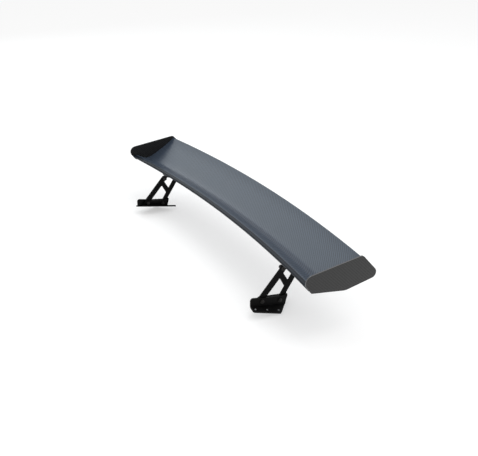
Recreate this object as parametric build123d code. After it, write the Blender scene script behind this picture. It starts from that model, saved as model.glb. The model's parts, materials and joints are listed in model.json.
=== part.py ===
from build123d import *
from math import atan2, cos, degrees, hypot, radians, sin, tan
import os

os.makedirs("parts", exist_ok=True)

# Racing rear wing for a boot lid, in millimetres.
# X runs along the span, -Y is the front of the car, +Z is up; the wing is the same on both sides of x = 0.
# Work frame: y and z are counted from the front end of the feet, then everything is moved to the origin.

# Driving dimensions
span = 1500.0  # over the outer faces of the endplates
bow = 54.0  # how far the middle of the blade stands behind its ends
plate_t = 6.0  # endplate thickness
skin_t = 2.0  # laminate thickness of the two skins
glue = 0.4  # bond line between the skins and what is inside them
stand_x = 512.0  # centre plane of each upright
upright_t = 6.0  # upright sheet
angle_t = 5.0  # foot angle sheet
pad_t = 2.0  # rubber under the feet
lid_fall_back = 0.20  # the lid falls this much for each mm towards the rear
lid_fall_out = 0.364  # and this much for each mm outboard of the uprights
pivot = (122.7, 116.0)  # y, z of the incidence pivot
lock = (187.3, 108.0)  # y, z of the bolt that locks the incidence
front_leg_foot = (35.0, 20.6)  # y, z where the centre line of the front leg starts
rear_leg_foot = (130.6, 24.2)  # and that of the rear leg
incidence_down = 4.0  # degrees the blade can be laid flatter
incidence_up = 8.0  # degrees the blade can be raised
m8 = 4.0  # shank radius of the pivot, lock and foot bolts
m6 = 3.0  # shank radius of the saddle screws
mount_hole_r = 3.3  # holes for the screws into the lid

inner_face = span / 2 - plate_t  # x of the endplates' inner faces
outer_face = stand_x + upright_t / 2  # x of the uprights' outboard faces


def save(node, shape):
    """Keep a finished node until everything is moved to the origin."""
    nodes[node] = shape


def mirrored(shape):
    """The same piece on the other side of the car."""
    return mirror(shape, about=Plane.YZ)


def both_sides(shapes):
    """One node that holds the pieces of both sides as separate solids."""
    return Compound(children=list(shapes) + [mirrored(shape) for shape in shapes])


def bow_at(x):
    """How far the blade is shifted to the rear at a place along the span."""
    return bow * (1 - (2 * x / span) ** 2)


def along_span(face, x_from, x_to, stations):
    """Carry a section along the bow: equal sections, each shifted to the rear by the bow."""
    steps = [x_from + (x_to - x_from) * i / (stations - 1) for i in range(stations)]
    sections = [Pos(x, bow_at(x), 0) * (Plane.YZ * face) for x in steps]
    return loft(sections)


def prism(points, x_from, x_to, corner_r=0.0):
    """A sheet piece drawn in y and z, between two x planes, with rounded corners."""
    face = Plane.YZ * make_face(Polyline(*points, close=True))
    solid = Pos(x_from, 0, 0) * extrude(face, amount=x_to - x_from, dir=(1, 0, 0))
    if corner_r:
        solid = fillet(solid.edges().filter_by(Axis.X), corner_r)
    return solid


def rod_x(radius, y, z, x_from, x_to):
    """A round bar along the span."""
    return Pos((x_from + x_to) / 2, y, z) * Rot(0, 90, 0) * Cylinder(radius, abs(x_to - x_from))


def nut_x(flats, y, z, x_from, x_to):
    """A plain hexagon along the span, as wide across flats as a nut."""
    hexagon = Plane.YZ * RegularPolygon(flats / 2, 6, major_radius=False)
    return Pos(x_from, y, z) * extrude(hexagon, amount=x_to - x_from, dir=(1, 0, 0))


def bolt_x(shank_r, y, z, head_x, tip_x):
    """Button-head bolt: the head stands outboard of head_x and the tip is at tip_x."""
    head_r = 1.75 * shank_r
    head_h = 1.1 * shank_r
    head = rod_x(head_r, y, z, head_x, head_x + head_h)
    head = fillet(head.edges().group_by(Axis.X)[-1], 0.6 * head_h)
    key = Pos(head_x + head_h - 2.2, y, z) * extrude(
        Plane.YZ * RegularPolygon(0.62 * shank_r, 6, major_radius=False), amount=3, dir=(1, 0, 0)
    )
    shank = rod_x(shank_r, y, z, tip_x, head_x)
    shank = chamfer(shank.edges().group_by(Axis.X)[0], 0.5)
    return head + shank - key


def countersink_x(shank_r, head_r, y, z, face_x):
    """The cone of a countersunk head whose flat end lies at face_x."""
    depth = head_r - shank_r
    return Pos(face_x - depth / 2, y, z) * Rot(0, 90, 0) * Cone(shank_r, head_r, depth)


def washer_x(hole_r, outer_r, y, z, x_from, thickness):
    """A flat washer along the span."""
    ring = rod_x(outer_r, y, z, x_from, x_from + thickness)
    return ring - rod_x(hole_r, y, z, x_from - 1, x_from + thickness + 1)


nodes = {}

# --- Blade -----------------------------------------------------------------------------------------
# One aerofoil section with a hooked nose and a hollow upper side, the same at every place of the span.
# The section is drawn at the ends of the blade as y, z.
nose_r = 6.5
nose_centre = (73.0, 159.5)
tail_upper = (280.5, 223.0)
tail_lower = (282.0, 220.6)
top_points = [
    (84.0, 165.0), (96.0, 160.0), (112.0, 151.6), (137.0, 144.6), (175.0, 156.6), (212.0, 177.0), (248.0, 198.0),
]
bottom_points = [(84.0, 147.6), (105.0, 140.6), (140.0, 135.8), (185.0, 142.0), (228.0, 167.5)]


def smooth_line(points, start_way, end_way):
    """A smooth curve through the points that leaves and arrives in the given directions."""
    return Spline(*points, tangents=[start_way, end_way], tangent_scalars=[1, 1])


def nose_arc(radius, angle):
    """The nose's round from its foremost point to an angle on it."""
    start, middle, end = [
        (nose_centre[0] + radius * cos(radians(a)), nose_centre[1] + radius * sin(radians(a)))
        for a in (180, (180 + angle) / 2, angle)
    ]
    return ThreePointArc(start, middle, end)


top_round = nose_arc(nose_r, 95)
bottom_round = nose_arc(nose_r, 245)
top_line = smooth_line([top_round @ 1, *top_points, tail_upper], top_round % 1, (0.74, 0.67))
bottom_line = smooth_line([bottom_round @ 1, *bottom_points, tail_lower], bottom_round % 1, (0.68, 0.73))
blade_face = make_face([top_round, top_line, Line(tail_upper, tail_lower), bottom_line, bottom_round])


def inside_lines(inset, joint):
    """Both boundaries of the hollow, inset from the outside, each a round and a line to the tail joint."""
    end = (top_line @ joint + bottom_line @ joint) / 2
    lines = []
    for outside, angle, side in ((top_line, 95, 1), (bottom_line, 245, -1)):
        points = []
        for share in (0.0, 0.07, 0.15, 0.26, 0.39, 0.52, 0.65, 0.8, 0.92):
            along = outside % (share * joint)
            points.append(outside @ (share * joint) + Vector(along.Y, -along.X) * side * inset)
        lines.append(nose_arc(nose_r - inset, angle))
        lines.append(smooth_line([*points, end], outside % 0, outside % joint))
    return lines


# The skins are two shells that meet on a joint line at the nose and along the trailing edge.
hollow_top_round, hollow_top, hollow_bottom_round, hollow_bottom = inside_lines(skin_t, 0.94)
tail_middle = (Vector(*tail_upper) + Vector(*tail_lower)) / 2
nose_joint = Line(top_round @ 0, hollow_top_round @ 0)
tail_joint = Line(hollow_top @ 1, tail_middle)
upper_face = make_face(
    [top_round, top_line, Line(tail_upper, tail_middle), tail_joint, hollow_top, hollow_top_round, nose_joint]
)
lower_face = make_face(
    [bottom_round, bottom_line, Line(tail_lower, tail_middle), tail_joint, hollow_bottom, hollow_bottom_round]
    + [nose_joint]
)
bonded_face = make_face(inside_lines(skin_t + glue, 0.87))

blade_stations = 13
blade = along_span(blade_face, -inner_face, inner_face, blade_stations)
upper_skin = along_span(upper_face, -inner_face, inner_face, blade_stations)
lower_skin = along_span(lower_face, -inner_face, inner_face, blade_stations)

# End ribs close the blade and carry the dowels of the endplates.
rib_t = 12.0
rib_inner = inner_face - rib_t
inside = along_span(bonded_face, -inner_face, inner_face, blade_stations)


def inside_between(x_from, x_to):
    """What fills the hollow of the blade between two places along the span."""
    return inside & Pos((x_from + x_to) / 2, 200, 170) * Box(x_to - x_from, 400, 200)


end_rib = inside_between(rib_inner, inner_face - glue).solid()
dowel_r = 3.0
dowel_depth = 3.5
dowel_places = [(104.0, 148.3), (214.0, 167.0)]
dowel_holes = []
dowels = []
for y, z in dowel_places:
    seat = y + bow_at(inner_face)
    dowel_holes.append(rod_x(dowel_r + 0.02, seat, z, rib_inner + 2, inner_face + dowel_depth))
    dowels.append(rod_x(dowel_r, seat, z, rib_inner + 2.2, inner_face + dowel_depth - 0.2))
for hole in dowel_holes:
    end_rib -= hole

# Two spars run from rib to rib; each is a web that fills the height between the skins.
spar_t = 3.0
front_spar_y = 88.0
rear_spar_y = 200.0


def spar(y):
    """A web along the whole blade, at one place of the section."""
    strip = Pos(y + spar_t / 2, 150) * Rectangle(spar_t, 120)
    return along_span((bonded_face & strip).face(), -rib_inner + glue, rib_inner - glue, blade_stations)


# Aluminium blocks between the spars take the screws of the saddles.
block_half = 25.0
block_x = (stand_x - block_half - 3, stand_x + block_half - 3)
block_y = (front_spar_y + spar_t + bow_at(block_x[0]) + 1, rear_spar_y + bow_at(block_x[1]) - 1)
mount_block = inside_between(*block_x) & Pos(
    sum(block_x) / 2, sum(block_y) / 2, 150
) * Box(block_x[1] - block_x[0], block_y[1] - block_y[0], 100)
mount_block = mount_block.solid()

# --- Saddles ---------------------------------------------------------------------------------------
# A machined saddle sits under the blade at each stand: its top follows the blade's underside and two ears
# hang from it beside the upright, the front one with the pivot hole and the rear one with an arc slot.
saddle_z = 129.0
saddle_x = (stand_x - 27.0, stand_x + 19.0)
saddle_y = (94.5 + bow_at(stand_x), 188.0 + bow_at(stand_x))
saddle_top = 143.0
ear_gap = 1.5
ear_t = 5.0
ear_x = (stand_x - upright_t / 2 - ear_gap - ear_t, stand_x - upright_t / 2 - ear_gap)
saddle = Pos(sum(saddle_x) / 2, sum(saddle_y) / 2, (saddle_z + saddle_top) / 2) * Box(
    saddle_x[1] - saddle_x[0], saddle_y[1] - saddle_y[0], saddle_top - saddle_z
)
saddle = fillet(saddle.edges().filter_by(Axis.Z), 6)
saddle -= Pos(0, 0, -glue) * blade

bush_r = 5.5
slot_half = m8 + 0.25
front_ear_r = 8.0
rear_ear_r = slot_half + 5.0
front_leg_lean = degrees(atan2(pivot[1] - front_leg_foot[1], pivot[0] - front_leg_foot[0]))


def ear(y, z, radius, lean):
    """A strip with a round lower end that rises with a lean into the underside of the saddle."""
    top = saddle_z + 0.5
    off = (radius * sin(radians(lean)), radius * cos(radians(lean)))
    front = (y - off[0], z + off[1])
    rear = (y + off[0], z - off[1])
    front_top = (front[0] + (top - front[1]) / tan(radians(lean)), top)
    rear_top = (rear[0] + (top - rear[1]) / tan(radians(lean)), top)
    return prism([front, front_top, rear_top, rear], *ear_x) + rod_x(radius, y, z, *ear_x)


def slot_point(angle):
    """The lock bolt's place in the slot when the blade is turned by this many degrees."""
    dy = lock[0] - pivot[0]
    dz = lock[1] - pivot[1]
    turn = radians(-angle)
    return (
        pivot[0] + dy * cos(turn) - dz * sin(turn),
        pivot[1] + dy * sin(turn) + dz * cos(turn),
    )


slot_low = slot_point(incidence_up + 0.5)
slot_high = slot_point(-incidence_down - 0.5)
slot_arc = ThreePointArc(slot_low, slot_point((incidence_up - incidence_down) / 2), slot_high)
slot_face = trace(slot_arc, 2 * slot_half) + [Pos(*slot_arc @ end) * Circle(slot_half) for end in (0, 1)]
slot_tool = Pos(ear_x[0] - 1, 0, 0) * extrude(Plane.YZ * slot_face, amount=ear_t + 2, dir=(1, 0, 0))
saddle += ear(*pivot, front_ear_r, front_leg_lean)
saddle += ear((slot_low[0] + slot_high[0]) / 2, slot_low[1], rear_ear_r, 90.0)
saddle = (saddle - slot_tool).solid()
saddle -= rod_x(bush_r + 0.02, pivot[0], pivot[1], ear_x[0] - 1, ear_x[1] + 1)

# Four screws per saddle go up through the lower skin into the block.
screw_len = 20.0
screw_head_h = 3.3
screw_head_r = 5.25
screw_places = [(x, y + bow_at(stand_x)) for x in (stand_x - 19, stand_x + 11) for y in (106.0, 176.0)]
saddle_screws = []
for x, y in screw_places:
    head = Pos(x, y, saddle_z - screw_head_h / 2) * Cylinder(screw_head_r, screw_head_h)
    head = fillet(head.edges().group_by(Axis.Z)[0], 1.6)
    key = Pos(x, y, saddle_z - screw_head_h) * extrude(RegularPolygon(2, 6, major_radius=False), amount=2)
    shank = Pos(x, y, saddle_z + screw_len / 2) * Cylinder(m6, screw_len)
    hole = Pos(x, y, saddle_z + screw_len / 2) * Cylinder(m6 + 0.02, screw_len + 0.6)
    saddle_screws.append(head + shank - key)
    saddle -= hole
    mount_block -= hole
    lower_skin -= hole
    lower_skin -= mirrored(hole)

# Flanged bushes in the saddles' pivot holes turn on the pivot bolts.
bush = rod_x(bush_r, pivot[0], pivot[1], ear_x[0], ear_x[1])
bush += rod_x(bush_r + 2, pivot[0], pivot[1], ear_x[1], ear_x[1] + ear_gap - glue)
bush -= rod_x(m8 + 0.05, pivot[0], pivot[1], ear_x[0] - 1, ear_x[1] + ear_gap + 1)

save("upper_skin", upper_skin)
save("lower_skin", lower_skin)
save("front_spar", spar(front_spar_y))
save("rear_spar", spar(rear_spar_y))
save("end_rib_left", end_rib)
save("end_rib_right", mirrored(end_rib))
save("mount_block_left", mount_block)
save("mount_block_right", mirrored(mount_block))
save("saddle_left", saddle)
save("saddle_right", mirrored(saddle))
save("saddle_screws", both_sides(saddle_screws))
save("pivot_bushes", both_sides([bush]))

# --- Endplates -------------------------------------------------------------------------------------
# A flat laminate plate closes each end; the corners have their own radii and the rim is eased.
plate_corners = [
    ((33.0, 204.5), 26.0),
    ((281.0, 232.5), 16.0),
    ((360.8, 143.0), 20.0),
    ((215.7, 119.2), 60.0),
    ((78.7, 144.4), 6.0),
]
endplate = prism([corner for corner, radius in plate_corners], inner_face, span / 2)
for (y, z), radius in plate_corners:
    corner_edge = endplate.edges().filter_by(Axis.X).sort_by_distance(Vector(span / 2, y, z))[0]
    endplate = fillet(corner_edge, radius)
endplate = fillet(endplate.edges().group_by(Axis.X)[-1], 1.2)
for hole in dowel_holes:
    endplate -= hole
save("endplate_left", endplate)
save("endplate_right", mirrored(endplate))
save("endplate_dowels", both_sides(dowels))

# --- Uprights --------------------------------------------------------------------------------------
# Flat sheet trusses: a front leg up to the pivot, a rear leg up to the lock bolt, a brace between them,
# a bar along the top and a foot bar that the two foot angles clamp.
front_leg_w = 21.5
rear_leg_w = 18.5


def lid_z(x, y):
    """Height of the lid's surface, which the underside of the pads rests on."""
    return -4.0 - lid_fall_back * y - lid_fall_out * (x - outer_face)


def side_line(start, end, distance, reach):
    """Two points beside the line from start to end, the second one reach beyond the end."""
    length = hypot(end[0] - start[0], end[1] - start[1])
    along = ((end[0] - start[0]) / length, (end[1] - start[1]) / length)
    off = (along[1] * distance, -along[0] * distance)
    far = length + reach
    return (
        (start[0] + off[0], start[1] + off[1]),
        (start[0] + off[0] + along[0] * far, start[1] + off[1] + along[1] * far),
    )


front_edge = side_line(front_leg_foot, pivot, -front_leg_w / 2, 0)
rear_edge = side_line(rear_leg_foot, lock, rear_leg_w / 2, 0)
bar_bottom = 8.0  # above the lid line, so that the sheet stays off the pad
outline = [
    (4.5, lid_z(outer_face, 4.5) + bar_bottom),
    front_edge[0],
    front_edge[1],
    (pivot[0], pivot[1] + front_leg_w / 2),
    (lock[0], lock[1] + rear_leg_w / 2),
    rear_edge[1],
    rear_edge[0],
    (134.0, 4.0),
    (128.0, lid_z(outer_face, 128) + bar_bottom),
]
upright_x = (stand_x - upright_t / 2, outer_face)
upright = prism(outline, *upright_x)
upright += rod_x(front_leg_w / 2, *pivot, *upright_x)
upright += rod_x(rear_leg_w / 2, *lock, *upright_x)
lower_window = [(52.3, 20.5), (109.5, 82.0), (130.6, 43.0), (110.5, 12.0)]
upper_window = [(123.5, 98.5), (138.5, 117.0), (173.5, 107.0), (144.2, 63.0)]
for window in (lower_window, upper_window):
    upright -= prism(window, upright_x[0] - 1, upright_x[1] + 1, 3.0)

# --- Feet ------------------------------------------------------------------------------------------
# Two bent angles clamp each upright; their flanges lie on the sloping lid, outboard and inboard.
lid_normal = Vector(lid_fall_out, lid_fall_back, 1).normalized()


def on_lid(x, y, lift=0.0):
    """A point over the lid, lifted square to its surface."""
    return Vector(x, y, lid_z(x, y)) + lid_normal * lift


def lid_sheet(plan, lift, thickness, corner_r):
    """A flat piece parallel to the lid, drawn in plan, with rounded corners."""
    face = make_face(Polyline(*[on_lid(x, y, lift) for x, y in plan], close=True))
    sheet = extrude(face, amount=thickness, dir=lid_normal)
    upright_edges = [edge for edge in sheet.edges() if abs((edge % 0.5).dot(lid_normal)) > 0.999]
    for (x, y), radius in zip(plan, corner_r):
        if radius:
            corner = min(upright_edges, key=lambda edge: (edge @ 0.5 - on_lid(x, y, lift)).length)
            match = sheet.edges().sort_by_distance(corner @ 0.5)[0]
            sheet = fillet(match, radius)
    return sheet


def lid_hole(x, y, radius, lift=-5.0, depth=20.0):
    """A hole square to the lid."""
    place = Plane(origin=on_lid(x, y, lift), z_dir=lid_normal)
    return place * Cylinder(radius, depth, align=(Align.CENTER, Align.CENTER, Align.MIN))


foot_front = -13.0
foot_rear = 131.0
outer_plan = [(outer_face + 1, foot_front), (540, foot_front), (556, 91), (outer_face + 1, foot_rear)]
inner_wall = stand_x - upright_t / 2
inner_plan = [(inner_wall - 4, 4), (484, 22), (474, 172), (inner_wall - 4, foot_rear + 8)]
outer_holes = [(531.5, -2.0), (538.0, 42.0), (544.5, 86.0)]
inner_holes = [(488.0, 40.0), (488.0, 128.0)]


leg_top = [(50.0, 22.0), (112.0, 12.4), (127.0, 12.6), (141.0, 15.5)]


def foot_angle(plan, radii, wall, front, front_r, holes):
    """A bent angle between two x planes: a leg against the upright and a flange on the lid."""
    bottom_front = (front[0], lid_z(wall[0], front[0]) + pad_t + 1)
    bottom_rear = (foot_rear, lid_z(wall[0], foot_rear) + pad_t + 1)
    leg = prism([bottom_front, front[1:], *leg_top, bottom_rear], *wall)
    for corner, radius in ((front[1:], front_r), (leg_top[3], 3.0)):
        leg = fillet(leg.edges().filter_by(Axis.X).sort_by_distance(Vector(wall[0], *corner))[0], radius)
    angle = (leg + lid_sheet(plan, pad_t, angle_t, radii)).solid()
    for x, y in holes:
        angle -= lid_hole(x, y, mount_hole_r)
    return angle


# y at the foot of the leg's front edge, then y and z of its upper front corner
outer_front = (foot_front, foot_front, 35.5)
inner_front = (4.5, 27.5, 25.5)
outer_foot = foot_angle(outer_plan, (0, 8, 8, 0), (outer_face, outer_face + angle_t), outer_front, 10.0, outer_holes)
inner_foot = foot_angle(inner_plan, (0, 10, 6, 0), (inner_wall - angle_t, inner_wall), inner_front, 6.0, inner_holes)

pad_plan = [(inner_wall - 4, 4), (outer_face + 1, foot_front), (540, foot_front), (556, 91), (474, 172), (484, 22)]
pad = lid_sheet(pad_plan, 0.0, pad_t, (0, 0, 8, 8, 6, 10))
for x, y in outer_holes + inner_holes:
    pad -= lid_hole(x, y, mount_hole_r)

# --- Bolts -----------------------------------------------------------------------------------------
# Each bolt has its head outboard and its nut inboard, with a washer under each.
washer_t = 1.6
washer_r = 8.0
nut_flats = 13.0
nut_h = 6.5
hole_gap = 0.05


def bolt_set(y, z, head_face, nut_face):
    """Bolt, its washers and its nut, clamping everything between two faces."""
    bolt = bolt_x(m8, y, z, head_face + washer_t, nut_face - washer_t - nut_h - 2)
    washers = [
        washer_x(m8 + 0.2, washer_r, y, z, head_face, washer_t),
        washer_x(m8 + 0.2, washer_r, y, z, nut_face - washer_t, washer_t),
    ]
    nut = nut_x(nut_flats, y, z, nut_face - washer_t - nut_h, nut_face - washer_t)
    nut -= rod_x(m8 + 0.02, y, z, nut_face - 30, nut_face)
    return bolt, washers, nut


# The pivot bolts are countersunk, flush with the outboard face of the upright.
pivot_head_r = 8.0
pivot_bolt, pivot_washers, pivot_nut = bolt_set(*pivot, outer_face, ear_x[0] - glue)
pivot_bolt = pivot_bolt & rod_x(pivot_head_r, *pivot, ear_x[0] - 30, outer_face)
pivot_bolt += countersink_x(m8, pivot_head_r, *pivot, outer_face)
pivot_key = Plane.YZ * RegularPolygon(0.62 * m8, 6, major_radius=False)
pivot_bolt -= Pos(outer_face - 2.2, *pivot) * extrude(pivot_key, amount=3, dir=(1, 0, 0))
pivot_washers = pivot_washers[1:]
lock_bolt, lock_washers, lock_nut = bolt_set(*lock, outer_face, ear_x[0] - glue)
upright -= rod_x(m8 + hole_gap, *pivot, upright_x[0] - 1, upright_x[1] + 1)
upright -= countersink_x(m8 + hole_gap, pivot_head_r + 2 * hole_gap, *pivot, outer_face + hole_gap)
upright -= rod_x(m8 + hole_gap, *lock, upright_x[0] - 1, upright_x[1] + 1)

foot_bolts = []
foot_washers = []
foot_nuts = []
foot_bolt_rise = 22.0  # above the lid line
for y in (34.0, 108.0):
    z = lid_z(outer_face, y) + foot_bolt_rise
    bolt, washers, nut = bolt_set(y, z, outer_face + angle_t, inner_wall - angle_t)
    foot_bolts.append(bolt)
    foot_washers += washers
    foot_nuts.append(nut)
    through = rod_x(m8 + hole_gap, y, z, inner_wall - 10, outer_face + 10)
    upright -= through
    outer_foot -= through
    inner_foot -= through

save("upright_left", upright)
save("upright_right", mirrored(upright))
save("outer_foot_left", outer_foot)
save("outer_foot_right", mirrored(outer_foot))
save("inner_foot_left", inner_foot)
save("inner_foot_right", mirrored(inner_foot))
save("foot_pad_left", pad)
save("foot_pad_right", mirrored(pad))
save("pivot_bolts", both_sides([pivot_bolt]))
save("pivot_washers", both_sides(pivot_washers))
save("pivot_nuts", both_sides([pivot_nut]))
save("lock_bolts", both_sides([lock_bolt]))
save("lock_washers", both_sides(lock_washers))
save("lock_nuts", both_sides([lock_nut]))
save("foot_bolts", both_sides(foot_bolts))
save("foot_washers", both_sides(foot_washers))
save("foot_nuts", both_sides(foot_nuts))

# --- Origin ----------------------------------------------------------------------------------------
# The origin is midway along the span, midway between front and rear, level with the lowest point.
whole = Compound(children=[shape.moved(Location()) for shape in nodes.values()]).bounding_box()
to_origin = Pos(0, -whole.center().Y, -whole.min.Z)
for node, shape in nodes.items():
    export_step(to_origin * shape, f"parts/{node}.step")
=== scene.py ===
import bmesh
import bpy
import json
from math import radians
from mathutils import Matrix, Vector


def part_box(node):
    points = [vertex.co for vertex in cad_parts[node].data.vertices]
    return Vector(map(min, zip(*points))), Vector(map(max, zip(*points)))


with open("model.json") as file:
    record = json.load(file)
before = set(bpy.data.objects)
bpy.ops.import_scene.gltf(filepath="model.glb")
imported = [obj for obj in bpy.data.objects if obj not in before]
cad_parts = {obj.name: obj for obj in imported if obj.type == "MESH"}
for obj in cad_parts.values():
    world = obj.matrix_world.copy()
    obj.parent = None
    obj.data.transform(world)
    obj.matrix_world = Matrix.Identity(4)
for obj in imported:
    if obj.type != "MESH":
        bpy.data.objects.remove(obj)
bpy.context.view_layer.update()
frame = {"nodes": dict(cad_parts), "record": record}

# --- Camera ----------------------------------------------------------------------------------------
# The wing is looked at from ahead of its left end and from above, with a standard lens.
# All of it is in sharp focus.
camera_data = bpy.data.cameras.new("camera")
camera_data.lens = 54.03
camera_data.sensor_width = 36.0
camera_data.clip_start = 0.1
camera_data.clip_end = 60.0
camera = bpy.data.objects.new("camera", camera_data)
camera.location = (2.37793, -1.27276, 1.33965)
camera.rotation_euler = (radians(90 - 24.80), 0.0, radians(60.548))
bpy.context.collection.objects.link(camera)
bpy.context.scene.camera = camera

# --- Studio ----------------------------------------------------------------------------------------
# A white lit table under an even white sky, with two broad soft lights: one above and behind, and one
# low beyond the right end, which the blade's top mirrors. The wing throws only a pale shadow.
floor_mesh = bpy.data.meshes.new("floor")
floor_shape = bmesh.new()
bmesh.ops.create_grid(floor_shape, x_segments=1, y_segments=1, size=14.0)
floor_shape.to_mesh(floor_mesh)
floor_shape.free()
floor = bpy.data.objects.new("floor", floor_mesh)
floor.location = (0.0, 0.0, -0.002)
bpy.context.collection.objects.link(floor)

floor_paint = bpy.data.materials.new("floor_paint")
floor_paint.use_nodes = True
floor_surface = floor_paint.node_tree.nodes["Principled BSDF"]
floor_surface.inputs["Base Color"].default_value = (0.57, 0.57, 0.57, 1)
floor_surface.inputs["Roughness"].default_value = 0.9
floor_surface.inputs["Specular IOR Level"].default_value = 0.0
floor_surface.inputs["Emission Color"].default_value = (1.0, 1.0, 1.0, 1)
floor_surface.inputs["Emission Strength"].default_value = 0.45
floor_mesh.materials.append(floor_paint)

sky = bpy.data.worlds.new("sky")
sky.use_nodes = True
sky.node_tree.nodes["Background"].inputs["Color"].default_value = (1.0, 1.0, 1.0, 1)
sky.node_tree.nodes["Background"].inputs["Strength"].default_value = 0.85
bpy.context.scene.world = sky
bpy.context.scene.view_settings.view_transform = "Standard"

for name, place, size, power, tint in (
    ("key", (0.5, 1.5, 4.0), 3.5, 55.0, (1.0, 1.0, 1.0)),
    ("side", (-3.8, -0.1, 2.7), 3.0, 45.0, (0.88, 0.96, 1.0)),
):
    light_data = bpy.data.lights.new(name, "AREA")
    light_data.shape = "DISK"
    light_data.size = size
    light_data.energy = power
    light_data.color = tint
    light = bpy.data.objects.new(name, light_data)
    light.location = place
    light.rotation_euler = (-light.location).to_track_quat("-Z", "Y").to_euler()
    bpy.context.collection.objects.link(light)

# --- Skins -----------------------------------------------------------------------------------------
# The blade is two shells of carbon cloth in epoxy, moulded in halves and glued along the nose and the
# trailing edge, then sprayed with a satin clear lacquer. The cloth is a 2x2 twill with tows of 2.8 mm, and
# a band along the nose is painted near-black under a thinner coat, a painted dark reflection on the nose.
tow_width = 0.0028


def feed(tree, socket, term):
    """Links a socket to the term, or sets it to the term if that is a number."""
    if isinstance(term, bpy.types.NodeSocket):
        tree.links.new(term, socket)
    else:
        socket.default_value = term


def math_node(tree, operation, *terms):
    """A Math node on terms that are sockets or numbers; gives its result."""
    node = tree.nodes.new("ShaderNodeMath")
    node.operation = operation
    for socket, term in zip(node.inputs, terms):
        feed(tree, socket, term)
    return node.outputs[0]


def blend_values(tree, share, low, high):
    """A value that goes from low to high as the share goes from 0 to 1."""
    node = tree.nodes.new("ShaderNodeMix")
    for place_in_node, term in ((0, share), (2, low), (3, high)):
        feed(tree, node.inputs[place_in_node], term)
    return node.outputs[0]


def blend_colours(tree, share, low, high):
    """A colour that goes from low to high, each a socket or red, green and blue, as the share goes to 1."""
    node = tree.nodes.new("ShaderNodeMix")
    node.data_type = "RGBA"
    tree.links.new(share, node.inputs[0])
    for place_in_node, colour in ((6, low), (7, high)):
        feed(tree, node.inputs[place_in_node], (*colour, 1.0) if isinstance(colour, tuple) else colour)
    return node.outputs[2]


def noise(tree, vector, scale, detail=2.0, roughness=0.5):
    """A noise pattern on a vector; gives its strength from 0 to 1."""
    node = tree.nodes.new("ShaderNodeTexNoise")
    node.inputs["Scale"].default_value = scale
    node.inputs["Detail"].default_value = detail
    node.inputs["Roughness"].default_value = roughness
    tree.links.new(vector, node.inputs["Vector"])
    return node.outputs["Fac"]


def vector_of(tree, *parts):
    """A vector put together from up to three sockets or numbers."""
    node = tree.nodes.new("ShaderNodeCombineXYZ")
    for socket, term in zip(node.inputs, parts):
        feed(tree, socket, term)
    return node.outputs[0]


def new_group(name, inputs, outputs):
    """An empty shader node group with named value or vector inputs and value outputs."""
    group = bpy.data.node_groups.new(name, "ShaderNodeTree")
    for label, kind in inputs:
        group.interface.new_socket(label, in_out="INPUT", socket_type=kind)
    for label in outputs:
        group.interface.new_socket(label, in_out="OUTPUT", socket_type="NodeSocketFloat")
    source = group.nodes.new("NodeGroupInput")
    result = group.nodes.new("NodeGroupOutput")
    return group, source.outputs, result.inputs


def use_group(tree, group, **values):
    """The group placed in a material with its own values; gives its outputs."""
    node = tree.nodes.new("ShaderNodeGroup")
    node.node_tree = group
    for label, value in values.items():
        feed(tree, node.inputs[label], value)
    return node.outputs


# Twill weave: each tow passes over two and under two, and each row is set one tow further along.
twill, weave_in, weave_out = new_group(
    "twill_weave",
    [("Along", "NodeSocketFloat"), ("Across", "NodeSocketFloat"), ("Tow", "NodeSocketFloat")],
    ["Height", "Lengthwise", "Fibre"],
)
tow_along = math_node(twill, "DIVIDE", weave_in["Along"], weave_in["Tow"])
tow_across = math_node(twill, "DIVIDE", weave_in["Across"], weave_in["Tow"])
step = math_node(
    twill, "ADD", math_node(twill, "FLOOR", tow_along), math_node(twill, "FLOOR", tow_across)
)
lengthwise = math_node(twill, "LESS_THAN", math_node(twill, "FLOORED_MODULO", step, 4.0), 2.0)
from_middle = blend_values(
    twill, lengthwise, math_node(twill, "FRACT", tow_along), math_node(twill, "FRACT", tow_across)
)
from_middle = math_node(twill, "MULTIPLY_ADD", from_middle, 2.0, -1.0)
hollow = math_node(twill, "POWER", math_node(twill, "ABSOLUTE", from_middle), 2.0)
crown = math_node(twill, "SUBTRACT", 1.0, hollow)
fibres_per_tow = 14.0
fibre_line = vector_of(
    twill,
    blend_values(twill, lengthwise, math_node(twill, "MULTIPLY", tow_along, fibres_per_tow), tow_along),
    blend_values(twill, lengthwise, tow_across, math_node(twill, "MULTIPLY", tow_across, fibres_per_tow)),
)
twill.links.new(crown, weave_out["Height"])
twill.links.new(lengthwise, weave_out["Lengthwise"])
twill.links.new(noise(twill, fibre_line, 1.0, 1.0), weave_out["Fibre"])

# Handling marks: broad clouds of polish and a few fine scratches.
handling, handling_in, handling_out = new_group(
    "handling_marks", [("Vector", "NodeSocketVector")], ["Cloud", "Scratch"]
)
long_marks = handling.nodes.new("ShaderNodeVectorMath")
long_marks.operation = "MULTIPLY"
long_marks.inputs[1].default_value = (60.0, 900.0, 900.0)
handling.links.new(handling_in["Vector"], long_marks.inputs[0])
scratch = noise(handling, long_marks.outputs[0], 1.0, 3.0, 0.6)
scratch_from = 0.69  # only the noise's highest peaks are scratches
handling.links.new(noise(handling, handling_in["Vector"], 9.0, 3.0), handling_out["Cloud"])
handling.links.new(math_node(handling, "GREATER_THAN", scratch, scratch_from), handling_out["Scratch"])


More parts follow.
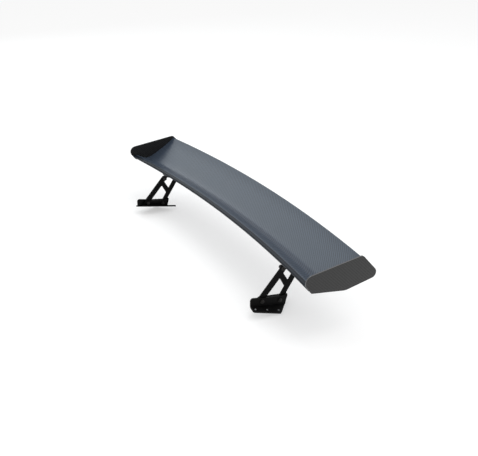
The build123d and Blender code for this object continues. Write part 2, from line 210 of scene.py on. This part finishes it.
def new_finish(name, specular, metallic=0.0):
    """A material with its tree, its surface shader, and the object coordinates as vector, x, y and z."""
    finish = bpy.data.materials.new(name)
    finish.use_nodes = True
    tree = finish.node_tree
    surface = tree.nodes["Principled BSDF"]
    surface.inputs["Specular IOR Level"].default_value = specular
    surface.inputs["Metallic"].default_value = metallic
    place = tree.nodes.new("ShaderNodeTexCoord").outputs["Object"]
    parts = tree.nodes.new("ShaderNodeSeparateXYZ")
    tree.links.new(place, parts.inputs[0])
    return finish, tree, surface, (place, *parts.outputs)


def relief(tree, surface, height, depth):
    """Lets a height pattern tilt the surface; the depth is in metres."""
    bump = tree.nodes.new("ShaderNodeBump")
    bump.inputs["Strength"].default_value = 1.0
    bump.inputs["Distance"].default_value = depth
    tree.links.new(height, bump.inputs["Height"])
    tree.links.new(bump.outputs[0], surface.inputs["Normal"])


def wear(finish, *names):
    """Gives CAD nodes their finish."""
    for name in names:
        node = frame["nodes"][name]
        node.data.materials.clear()
        node.data.materials.append(finish)


def lacquered_twill(name, dark, light, along, across, coat, coat_roughness):
    """Carbon cloth under lacquer; along and across say how x, y and z run with the two sets of tows."""
    finish, tree, surface, (place, *axes) = new_finish(name, 0.05)
    runs = []
    for weights in (along, across):
        run = 0.0
        for axis, weight in zip(axes, weights):
            if weight:
                run = math_node(tree, "MULTIPLY_ADD", axis, weight, run)
        runs.append(run)
    cloth = use_group(tree, twill, Along=runs[0], Across=runs[1], Tow=tow_width)
    marks = use_group(tree, handling, Vector=place)
    # The tows running along are painted lighter than those running across, a painted sheen for how
    # differently the two sets of fibres reflect.
    tone = math_node(tree, "MULTIPLY_ADD", cloth["Lengthwise"], 0.5, -0.05)
    tone = math_node(tree, "MULTIPLY_ADD", cloth["Fibre"], 0.3, tone)
    tone = math_node(tree, "MULTIPLY_ADD", cloth["Height"], 0.3, tone)
    tone = math_node(tree, "MULTIPLY_ADD", marks["Cloud"], 0.2, tone)
    tree.links.new(blend_colours(tree, tone, dark, light), surface.inputs["Base Color"])
    gloss = math_node(tree, "MULTIPLY_ADD", marks["Cloud"], 0.16, 0.36)
    gloss = math_node(tree, "MULTIPLY_ADD", marks["Scratch"], 0.2, gloss)
    tree.links.new(gloss, surface.inputs["Roughness"])
    worn_coat = math_node(tree, "MULTIPLY_ADD", marks["Scratch"], -0.25, coat)
    tree.links.new(worn_coat, surface.inputs["Coat Weight"])
    surface.inputs["Coat Roughness"].default_value = coat_roughness
    relief(tree, surface, cloth["Height"], 0.00012)
    return finish, tree, surface, tone, axes


# The tow colours are the carbon's own dark tones with a painted blue-grey sheen mixed in, a painted
# reflection on the lacquered top.
dark_tow_and_sheen = (0.004, 0.007, 0.012)
light_tow_and_sheen = (0.056, 0.076, 0.108)
blade_carbon, tree, surface, tone, (x, y, z) = lacquered_twill(
    "carbon_blade", dark_tow_and_sheen, light_tow_and_sheen, (1, 0, 0), (0, 0.86, 0.5), 0.55, 0.28
)

# The painted dark band, a painted reflection along the nose, lies on the foremost 11 mm; the nose follows the
# blade's bow, which sets the middle back.
nose_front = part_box("upper_skin")[0][1]
half_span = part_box("endplate_left")[1][0]
blade_bow = 0.054
dark_band_width = 0.011
dark_band_edge = 0.004
span_squared = math_node(tree, "POWER", math_node(tree, "ABSOLUTE", x), 2.0)
bowed = math_node(tree, "MULTIPLY", span_squared, blade_bow / half_span**2)
behind_nose = math_node(tree, "ADD", math_node(tree, "SUBTRACT", y, nose_front + blade_bow), bowed)
off_dark_band = math_node(tree, "MULTIPLY_ADD", behind_nose, 1 / dark_band_edge, -dark_band_width / dark_band_edge)
off_dark_band = math_node(tree, "MAXIMUM", math_node(tree, "MINIMUM", off_dark_band, 1.0), 0.05)
# The cloth is painted near-black on the band, a painted dark reflection along the nose.
cloth_tone = math_node(tree, "MULTIPLY", off_dark_band, tone)
tree.links.new(blend_colours(tree, cloth_tone, dark_tow_and_sheen, light_tow_and_sheen), surface.inputs["Base Color"])
tree.links.new(math_node(tree, "MULTIPLY_ADD", off_dark_band, 0.3, 0.25), surface.inputs["Coat Weight"])
wear(blade_carbon, "upper_skin", "lower_skin")

# --- Spars -----------------------------------------------------------------------------------------
# Two webs of bare carbon laminate, laid up from tape that runs along the span, are glued between the
# skins. They are never lacquered, so they stay dull.
spar_carbon, tree, surface, (place, x, y, z) = new_finish("carbon_inner", 0.3)
tape = vector_of(tree, math_node(tree, "MULTIPLY", x, 12.0), y, math_node(tree, "MULTIPLY", z, 900.0))
strand = noise(tree, tape, 1.0, 3.0)
strand_colour = blend_colours(tree, strand, (0.006, 0.006, 0.007), (0.040, 0.041, 0.043))
tree.links.new(strand_colour, surface.inputs["Base Color"])
tree.links.new(math_node(tree, "MULTIPLY_ADD", strand, 0.3, 0.35), surface.inputs["Roughness"])
relief(tree, surface, strand, 0.00008)
wear(spar_carbon, "front_spar", "rear_spar")

# --- End ribs --------------------------------------------------------------------------------------
# Blocks of rigid foam close the ends of the hollow and hold the endplates' dowels.
# They are sawn to fit between the skins, so their faces show the open cells.
foam, tree, surface, (place, x, y, z) = new_finish("rib_foam", 0.1)
cells = tree.nodes.new("ShaderNodeTexVoronoi")
cells.inputs["Scale"].default_value = 1400.0
tree.links.new(place, cells.inputs["Vector"])
cell_depth = cells.outputs["Distance"]
foam_colour = blend_colours(tree, cell_depth, (0.80, 0.74, 0.56), (0.52, 0.45, 0.30))
tree.links.new(foam_colour, surface.inputs["Base Color"])
surface.inputs["Roughness"].default_value = 0.95
relief(tree, surface, math_node(tree, "SUBTRACT", 1.0, cell_depth), 0.0003)
wear(foam, "end_rib_left", "end_rib_right")

# --- Mount blocks ----------------------------------------------------------------------------------
# Milled aluminium blocks, glued between the spars and tapped for the saddle screws; the cutter leaves
# fine lines along the span.
cutter, cutter_in, cutter_out = new_group(
    "cutter_marks", [("Vector", "NodeSocketVector"), ("Stretch", "NodeSocketVector")], ["Line", "Patch"]
)
stretched = cutter.nodes.new("ShaderNodeVectorMath")
stretched.operation = "MULTIPLY"
cutter.links.new(cutter_in["Vector"], stretched.inputs[0])
cutter.links.new(cutter_in["Stretch"], stretched.inputs[1])
cutter.links.new(noise(cutter, stretched.outputs[0], 1.0, 2.0), cutter_out["Line"])
cutter.links.new(noise(cutter, cutter_in["Vector"], 45.0, 2.0), cutter_out["Patch"])


def machined(name, dark, light, smooth, stretch, metallic, specular=0.5):
    """Metal with fine lines from the tool; stretch gives the lines per metre along x, y and z."""
    finish, tree, surface, (place, *axes) = new_finish(name, specular, metallic)
    lines = use_group(tree, cutter, Vector=place, Stretch=stretch)
    tone = blend_values(tree, 0.35, lines["Line"], lines["Patch"])
    tree.links.new(blend_colours(tree, tone, dark, light), surface.inputs["Base Color"])
    tree.links.new(math_node(tree, "MULTIPLY_ADD", lines["Line"], 0.22, smooth), surface.inputs["Roughness"])
    relief(tree, surface, lines["Line"], 0.00003)
    return finish


aluminium = machined("block_aluminium", (0.55, 0.56, 0.58), (0.86, 0.87, 0.89), 0.22, (60, 1500, 1500), 1.0)
wear(aluminium, "mount_block_left", "mount_block_right")

# --- Saddles ---------------------------------------------------------------------------------------
# Machined and black anodised saddles are screwed up through the lower skin; bronze bushes are pressed
# into their front ears, and the lock bolt runs in the arc slot of the rear ear.
saddle_black = machined(
    "saddle_black", (0.004, 0.004, 0.005), (0.013, 0.013, 0.015), 0.40, (80, 1100, 1100), 0.0, 0.2
)
wear(saddle_black, "saddle_left", "saddle_right")
bronze = machined("bush_bronze", (0.34, 0.21, 0.09), (0.62, 0.43, 0.22), 0.30, (900, 900, 900), 1.0)
wear(bronze, "pivot_bushes")

# --- Endplates -------------------------------------------------------------------------------------
# Flat plates of the same twill, darker and glossier than the blade, are glued and dowelled to its ends.
# The dowels are ground steel pins.
plate_carbon, tree, surface, tone, (x, y, z) = lacquered_twill(
    "carbon_plate", (0.002, 0.002, 0.002), (0.019, 0.019, 0.019), (0, 1, 0), (0, 0, 1), 0.75, 0.16
)

# The sanded rims between the two lacquered faces show the cut ends of the plies.
ply_pitch = 0.0004
rim_middle = 0.0035
rim_half_width = 0.0022
from_outside = math_node(tree, "SUBTRACT", half_span, math_node(tree, "ABSOLUTE", x))
on_rim = math_node(tree, "COMPARE", from_outside, rim_middle, rim_half_width)
ply_line = math_node(tree, "PINGPONG", from_outside, ply_pitch)
cut_tone = math_node(tree, "MULTIPLY_ADD", ply_line, 0.4 / ply_pitch, 0.6)
cut_ends = blend_colours(tree, cut_tone, (0.012, 0.012, 0.012), (0.11, 0.11, 0.115))
face_colour = surface.inputs["Base Color"].links[0].from_socket
tree.links.new(blend_colours(tree, on_rim, face_colour, cut_ends), surface.inputs["Base Color"])
wear(plate_carbon, "endplate_left", "endplate_right")
dowel_steel = machined("dowel_steel", (0.38, 0.38, 0.39), (0.72, 0.72, 0.73), 0.18, (2500, 90, 90), 1.0)
wear(dowel_steel, "endplate_dowels")

# --- Uprights --------------------------------------------------------------------------------------
# Trusses cut from 6 mm aluminium sheet and powder coated satin black: a fine orange peel, a little dust
# low down, and duller clouds where hands and spanners go.
powder, powder_in, powder_out = new_group("orange_peel", [("Vector", "NodeSocketVector")], ["Height", "Tone"])
coarse_peel = noise(powder, powder_in["Vector"], 420.0, 2.0)
fine_peel = noise(powder, powder_in["Vector"], 1900.0, 1.0)
powder.links.new(math_node(powder, "MULTIPLY_ADD", fine_peel, 0.4, coarse_peel), powder_out["Height"])
powder.links.new(noise(powder, powder_in["Vector"], 26.0, 4.0, 0.6), powder_out["Tone"])


dust_top = 0.06


def powder_coat(name, dark, light, smooth, specular):
    """Satin powder coat with dust that thins out up to the dust's top."""
    finish, tree, surface, (place, x, y, z) = new_finish(name, specular)
    skin = use_group(tree, powder, Vector=place)
    height_share = math_node(tree, "MINIMUM", math_node(tree, "DIVIDE", z, dust_top), 1.0)
    low_down = math_node(tree, "SUBTRACT", 1.0, height_share)
    dust = math_node(tree, "MULTIPLY", low_down, skin["Tone"])
    tone = math_node(tree, "MULTIPLY_ADD", dust, 0.5, math_node(tree, "MULTIPLY", skin["Tone"], 0.5))
    tree.links.new(blend_colours(tree, tone, dark, light), surface.inputs["Base Color"])
    tree.links.new(math_node(tree, "MULTIPLY_ADD", skin["Tone"], 0.2, smooth), surface.inputs["Roughness"])
    relief(tree, surface, skin["Height"], 0.00006)
    return finish


upright_black = powder_coat("upright_black", (0.001, 0.001, 0.001), (0.005, 0.005, 0.005), 0.34, 0.07)
wear(upright_black, "upright_left", "upright_right")

# --- Feet ------------------------------------------------------------------------------------------
# Angles bent from 5 mm sheet clamp each upright from both sides and are coated like it; the drilled
# flanges lie on rubber pads that keep them off the lid's paint.
foot_black = powder_coat("foot_black", (0.001, 0.001, 0.001), (0.006, 0.006, 0.006), 0.30, 0.08)

# Each hole of the outboard flanges gets a ring of bright bare metal round it, a painted highlight at the
# hole's rim.
mounts = {mount["name"]: mount for mount in frame["record"]["mounts"]}
middle_hole = mounts["left_outer_middle_hole"]["pos_m"]
end_hole_reach = mounts["left_outer_end_holes"]["dims"]["pcd_mm"] / 2000
row_way = (0.1417, 0.9596, -0.2434)  # the way the row of three holes runs
highlight_ring_radius = 0.0052
ragged = 0.002  # how far the ring's edge wanders
tree = foot_black.node_tree
surface = tree.nodes["Principled BSDF"]
place = tree.nodes.new("ShaderNodeTexCoord").outputs["Object"]
one_side = tree.nodes.new("ShaderNodeVectorMath")
one_side.operation = "ABSOLUTE"
tree.links.new(place, one_side.inputs[0])
xyz = tree.nodes.new("ShaderNodeSeparateXYZ")
sides = tree.nodes.new("ShaderNodeSeparateXYZ")
tree.links.new(place, xyz.inputs[0])
tree.links.new(one_side.outputs[0], sides.inputs[0])
mirrored = vector_of(tree, sides.outputs[0], xyz.outputs[1], xyz.outputs[2])
nearest = 1.0
for reach in (-end_hole_reach, 0.0, end_hole_reach):
    gap = tree.nodes.new("ShaderNodeVectorMath")
    gap.operation = "DISTANCE"
    tree.links.new(mirrored, gap.inputs[0])
    gap.inputs[1].default_value = [middle + way * reach for middle, way in zip(middle_hole, row_way)]
    nearest = math_node(tree, "MINIMUM", gap.outputs["Value"], nearest)
highlight_ring = math_node(tree, "MULTIPLY_ADD", noise(tree, place, 700.0), ragged, nearest)
highlight_ring = math_node(tree, "LESS_THAN", highlight_ring, highlight_ring_radius + ragged / 2)
painted = surface.inputs["Base Color"].links[0].from_socket
# The ring is painted as bright bare metal: a painted highlight.
tree.links.new(blend_colours(tree, highlight_ring, painted, (0.32, 0.33, 0.34)), surface.inputs["Base Color"])
tree.links.new(math_node(tree, "MULTIPLY", highlight_ring, 0.9), surface.inputs["Metallic"])
wear(foot_black, "outer_foot_left", "outer_foot_right", "inner_foot_left", "inner_foot_right")
rubber, tree, surface, (place, x, y, z) = new_finish("pad_rubber", 0.25)
grain = noise(tree, place, 1300.0, 3.0)
rubber_colour = blend_colours(tree, grain, (0.006, 0.006, 0.006), (0.030, 0.030, 0.029))
tree.links.new(rubber_colour, surface.inputs["Base Color"])
tree.links.new(math_node(tree, "MULTIPLY_ADD", grain, 0.2, 0.7), surface.inputs["Roughness"])
relief(tree, surface, grain, 0.00015)
wear(rubber, "foot_pad_left", "foot_pad_right")

# --- Fasteners -------------------------------------------------------------------------------------
# Button-head bolts, countersunk ones at the pivots, and washers and nuts, all of black oxide steel.
# The oxide is thin: turned lines show through it, and it goes brownish in patches.
bolt_black = machined(
    "bolt_black", (0.004, 0.004, 0.005), (0.026, 0.023, 0.020), 0.30, (1400, 240, 240), 0.35, 0.35
)
washer_black = machined(
    "washer_black", (0.005, 0.005, 0.005), (0.030, 0.028, 0.026), 0.36, (200, 1300, 1300), 0.35, 0.35
)
nut_black = machined(
    "nut_black", (0.005, 0.005, 0.006), (0.028, 0.026, 0.024), 0.34, (1100, 300, 300), 0.35, 0.35
)
wear(bolt_black, "saddle_screws", "pivot_bolts", "lock_bolts", "foot_bolts")
wear(washer_black, "pivot_washers", "lock_washers", "foot_washers")
wear(nut_black, "pivot_nuts", "lock_nuts", "foot_nuts")
